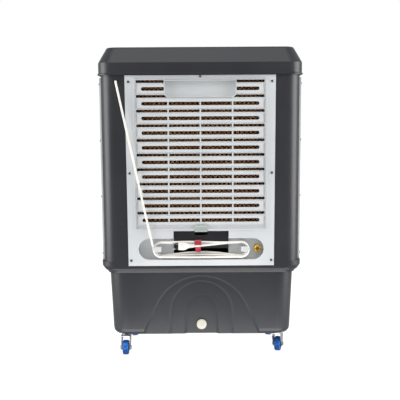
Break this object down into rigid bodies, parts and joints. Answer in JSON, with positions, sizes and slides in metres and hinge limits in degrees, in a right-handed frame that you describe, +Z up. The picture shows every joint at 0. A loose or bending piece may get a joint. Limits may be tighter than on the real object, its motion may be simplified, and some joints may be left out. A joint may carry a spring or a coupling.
{
  "type": "evaporative cooler",
  "caption": "Floor-standing evaporative cooler with a lift-off rear grille over a wet pad, louvred air outlet, water tank and swivel casters.",
  "frame": {"origin": "on the floor, under the middle of the lid", "axes": "+Z up, +Y out of the rear grille, -Y out of the air outlet, +X to the left when seen from the rear"},
  "size_m": [0.687, 0.444, 1.045],
  "materials": {
    "charcoal_plastic": "charcoal moulded polypropylene, satin",
    "white_plastic": "cool white moulded ABS, satin",
    "latch_plastic": "grey green moulded plastic",
    "pad": "corrugated cellulose cooling pad",
    "blue_plastic": "blue moulded polyurethane wheel",
    "zinc_steel": "zinc-plated pressed steel",
    "black_plastic": "black moulded plastic",
    "black_rubber": "black rubber",
    "brass": "turned brass",
    "cream_plastic": "cream moulded plastic",
    "clear_plastic": "smoked translucent plastic",
    "cord_pvc": "white PVC sheath",
    "tie_red": "red flat tie",
    "motor_enamel": "black enamelled steel",
    "hose_pvc": "soft PVC hose",
    "fan_plastic": "grey moulded fan"
  },
  "bodies": {
    "cabinet": {"cabinet_shell": "charcoal_plastic", "caster_plates": "zinc_steel", "control_box": "black_plastic", "cord_grommet": "black_rubber", "cord_hank": "cord_pvc", "cord_hooks": "white_plastic", "cord_tie": "tie_red", "fan_motor": "motor_enamel", "fan_shroud": "black_plastic", "float_valve": "cream_plastic", "front_panel": "white_plastic", "inlet_fitting": "brass", "left_pad": "pad", "left_side_panel": "white_plastic", "level_window": "clear_plastic", "lid": "charcoal_plastic", "motor_bracket": "motor_enamel", "panel_screws": "zinc_steel", "plug": "cord_pvc", "power_cord": "cord_pvc", "pump": "black_plastic", "rear_grille": "white_plastic", "rear_pad": "pad", "rear_panel": "white_plastic", "right_pad": "pad", "right_side_panel": "white_plastic", "swing_motor": "black_plastic", "water_distributor": "black_plastic", "water_hose": "hose_pvc", "water_tank": "charcoal_plastic"},
    "latch": {"grille_latch": "latch_plastic"},
    "drain_cap": {"drain_cap": "cream_plastic"},
    "fill_door": {"fill_door": "charcoal_plastic"},
    "float_arm": {"float_arm": "cream_plastic"},
    "fan": {"fan_rotor": "fan_plastic", "motor_shaft": "zinc_steel"},
    "speed_knob": {"speed_knob": "black_plastic"},
    "mode_knob": {"mode_knob": "black_plastic"},
    "louvre_3": {"louvre_3": "white_plastic"},
    "louvre_1": {"louvre_1": "white_plastic"},
    "louvre_2": {"louvre_2": "white_plastic"},
    "louvre_4": {"louvre_4": "white_plastic"},
    "louvre_5": {"louvre_5": "white_plastic"},
    "louvre_link": {"louvre_link": "white_plastic"},
    "vane_3": {"vane_3": "white_plastic"},
    "vane_1": {"vane_1": "white_plastic"},
    "vane_2": {"vane_2": "white_plastic"},
    "vane_4": {"vane_4": "white_plastic"},
    "vane_5": {"vane_5": "white_plastic"},
    "vane_link": {"vane_link": "white_plastic"},
    "caster_fork_rear_left": {"caster_fork_rear_left": "zinc_steel"},
    "caster_wheel_rear_left": {"caster_wheel_rear_left": "blue_plastic"},
    "caster_fork_rear_right": {"caster_fork_rear_right": "zinc_steel"},
    "caster_wheel_rear_right": {"caster_wheel_rear_right": "blue_plastic"},
    "caster_fork_front_left": {"caster_fork_front_left": "zinc_steel"},
    "caster_wheel_front_left": {"caster_wheel_front_left": "blue_plastic"},
    "brake_pedal_front_left": {"brake_pedal_front_left": "black_plastic"},
    "caster_fork_front_right": {"caster_fork_front_right": "zinc_steel"},
    "caster_wheel_front_right": {"caster_wheel_front_right": "blue_plastic"},
    "brake_pedal_front_right": {"brake_pedal_front_right": "black_plastic"}
  },
  "joints": [
    {"name": "latch_slide", "type": "slide", "parent": "cabinet", "child": "latch", "axis": [0, 0, -1], "range_m": [0, 0.005]},
    {"name": "drain_cap_turn", "type": "hinge", "parent": "cabinet", "child": "drain_cap", "pos_m": [0, 0.1725, 0.1076], "axis": [0, 1, 0], "range_deg": [0, 720]},
    {"name": "fill_door_hinge", "type": "hinge", "parent": "cabinet", "child": "fill_door", "pos_m": [0, -0.1945, 0.211], "axis": [1, 0, 0], "range_deg": [0, 60]},
    {"name": "float_arm_hinge", "type": "hinge", "parent": "cabinet", "child": "float_arm", "pos_m": [-0.19, 0.108, 0.363], "axis": [-1, 0, 0], "range_deg": [0, 25]},
    {"name": "fan_spin", "type": "hinge", "parent": "cabinet", "child": "fan", "pos_m": [0, -0.055, 0.66], "axis": [0, 1, 0], "continuous": true},
    {"name": "speed_knob_turn", "type": "hinge", "parent": "cabinet", "child": "speed_knob", "pos_m": [-0.11, -0.19, 0.919], "axis": [0, -1, 0], "range_deg": [0, 270]},
    {"name": "mode_knob_turn", "type": "hinge", "parent": "cabinet", "child": "mode_knob", "pos_m": [0.11, -0.19, 0.919], "axis": [0, -1, 0], "range_deg": [0, 180]},
    {"name": "louvre_3_tilt", "type": "hinge", "parent": "cabinet", "child": "louvre_3", "pos_m": [0, -0.184, 0.675], "axis": [1, 0, 0], "range_deg": [-35, 35]},
    {"name": "louvre_1_tilt", "type": "hinge", "parent": "cabinet", "child": "louvre_1", "pos_m": [0, -0.184, 0.511], "axis": [1, 0, 0], "range_deg": [-35, 35]},
    {"name": "louvre_2_tilt", "type": "hinge", "parent": "cabinet", "child": "louvre_2", "pos_m": [0, -0.184, 0.593], "axis": [1, 0, 0], "range_deg": [-35, 35]},
    {"name": "louvre_4_tilt", "type": "hinge", "parent": "cabinet", "child": "louvre_4", "pos_m": [0, -0.184, 0.757], "axis": [1, 0, 0], "range_deg": [-35, 35]},
    {"name": "louvre_5_tilt", "type": "hinge", "parent": "cabinet", "child": "louvre_5", "pos_m": [0, -0.184, 0.839], "axis": [1, 0, 0], "range_deg": [-35, 35]},
    {"name": "louvre_link_pin", "type": "hinge", "parent": "louvre_3", "child": "louvre_link", "pos_m": [-0.197, -0.168, 0.675], "axis": [1, 0, 0], "range_deg": [-35, 35]},
    {"name": "vane_3_swing", "type": "hinge", "parent": "cabinet", "child": "vane_3", "pos_m": [0, -0.135, 0.675], "axis": [0, 0, 1], "range_deg": [-35, 35]},
    {"name": "vane_1_swing", "type": "hinge", "parent": "cabinet", "child": "vane_1", "pos_m": [-0.16, -0.135, 0.675], "axis": [0, 0, 1], "range_deg": [-35, 35]},
    {"name": "vane_2_swing", "type": "hinge", "parent": "cabinet", "child": "vane_2", "pos_m": [-0.08, -0.135, 0.675], "axis": [0, 0, 1], "range_deg": [-35, 35]},
    {"name": "vane_4_swing", "type": "hinge", "parent": "cabinet", "child": "vane_4", "pos_m": [0.08, -0.135, 0.675], "axis": [0, 0, 1], "range_deg": [-35, 35]},
    {"name": "vane_5_swing", "type": "hinge", "parent": "cabinet", "child": "vane_5", "pos_m": [0.16, -0.135, 0.675], "axis": [0, 0, 1], "range_deg": [-35, 35]},
    {"name": "vane_link_pin", "type": "hinge", "parent": "vane_3", "child": "vane_link", "pos_m": [0, -0.119, 0.868], "axis": [0, 0, 1], "range_deg": [-35, 35]},
    {"name": "swivel_rear_left", "type": "hinge", "parent": "cabinet", "child": "caster_fork_rear_left", "pos_m": [0.26, 0.138, 0.067], "axis": [0, 0, 1], "continuous": true},
    {"name": "roll_rear_left", "type": "hinge", "parent": "caster_fork_rear_left", "child": "caster_wheel_rear_left", "pos_m": [0.26077, 0.15999, 0.025], "axis": [0.9994, -0.0349, 0], "continuous": true},
    {"name": "swivel_rear_right", "type": "hinge", "parent": "cabinet", "child": "caster_fork_rear_right", "pos_m": [-0.26, 0.138, 0.067], "axis": [0, 0, 1], "continuous": true},
    {"name": "roll_rear_right", "type": "hinge", "parent": "caster_fork_rear_right", "child": "caster_wheel_rear_right", "pos_m": [-0.26569, 0.11675, 0.025], "axis": [-0.9659, 0.2588, 0], "continuous": true},
    {"name": "swivel_front_left", "type": "hinge", "parent": "cabinet", "child": "caster_fork_front_left", "pos_m": [0.26, -0.138, 0.067], "axis": [0, 0, 1], "continuous": true},
    {"name": "roll_front_left", "type": "hinge", "parent": "caster_fork_front_left", "child": "caster_wheel_front_left", "pos_m": [0.2507, -0.11806, 0.025], "axis": [0.9063, 0.4226, 0], "continuous": true},
    {"name": "brake_front_left", "type": "hinge", "parent": "caster_fork_front_left", "child": "brake_pedal_front_left", "pos_m": [0.2469, -0.1099, 0.0585], "axis": [-0.9063, -0.4226, 0], "range_deg": [0, 12]},
    {"name": "swivel_front_right", "type": "hinge", "parent": "cabinet", "child": "caster_fork_front_right", "pos_m": [-0.26, -0.138, 0.067], "axis": [0, 0, 1], "continuous": true},
    {"name": "roll_front_right", "type": "hinge", "parent": "caster_fork_front_right", "child": "caster_wheel_front_right", "pos_m": [-0.2507, -0.11806, 0.025], "axis": [0.9063, -0.4226, 0], "continuous": true},
    {"name": "brake_front_right", "type": "hinge", "parent": "caster_fork_front_right", "child": "brake_pedal_front_right", "pos_m": [-0.2469, -0.1099, 0.0585], "axis": [-0.9063, 0.4226, 0], "range_deg": [0, 12]}
  ],
  "couplings": [
    {"joint": "louvre_1_tilt", "follows": "louvre_3_tilt", "ratio": 1},
    {"joint": "louvre_2_tilt", "follows": "louvre_3_tilt", "ratio": 1},
    {"joint": "louvre_4_tilt", "follows": "louvre_3_tilt", "ratio": 1},
    {"joint": "louvre_5_tilt", "follows": "louvre_3_tilt", "ratio": 1},
    {"joint": "louvre_link_pin", "follows": "louvre_3_tilt", "ratio": -1},
    {"joint": "vane_1_swing", "follows": "vane_3_swing", "ratio": 1},
    {"joint": "vane_2_swing", "follows": "vane_3_swing", "ratio": 1},
    {"joint": "vane_4_swing", "follows": "vane_3_swing", "ratio": 1},
    {"joint": "vane_5_swing", "follows": "vane_3_swing", "ratio": 1},
    {"joint": "vane_link_pin", "follows": "vane_3_swing", "ratio": -1}
  ]
}
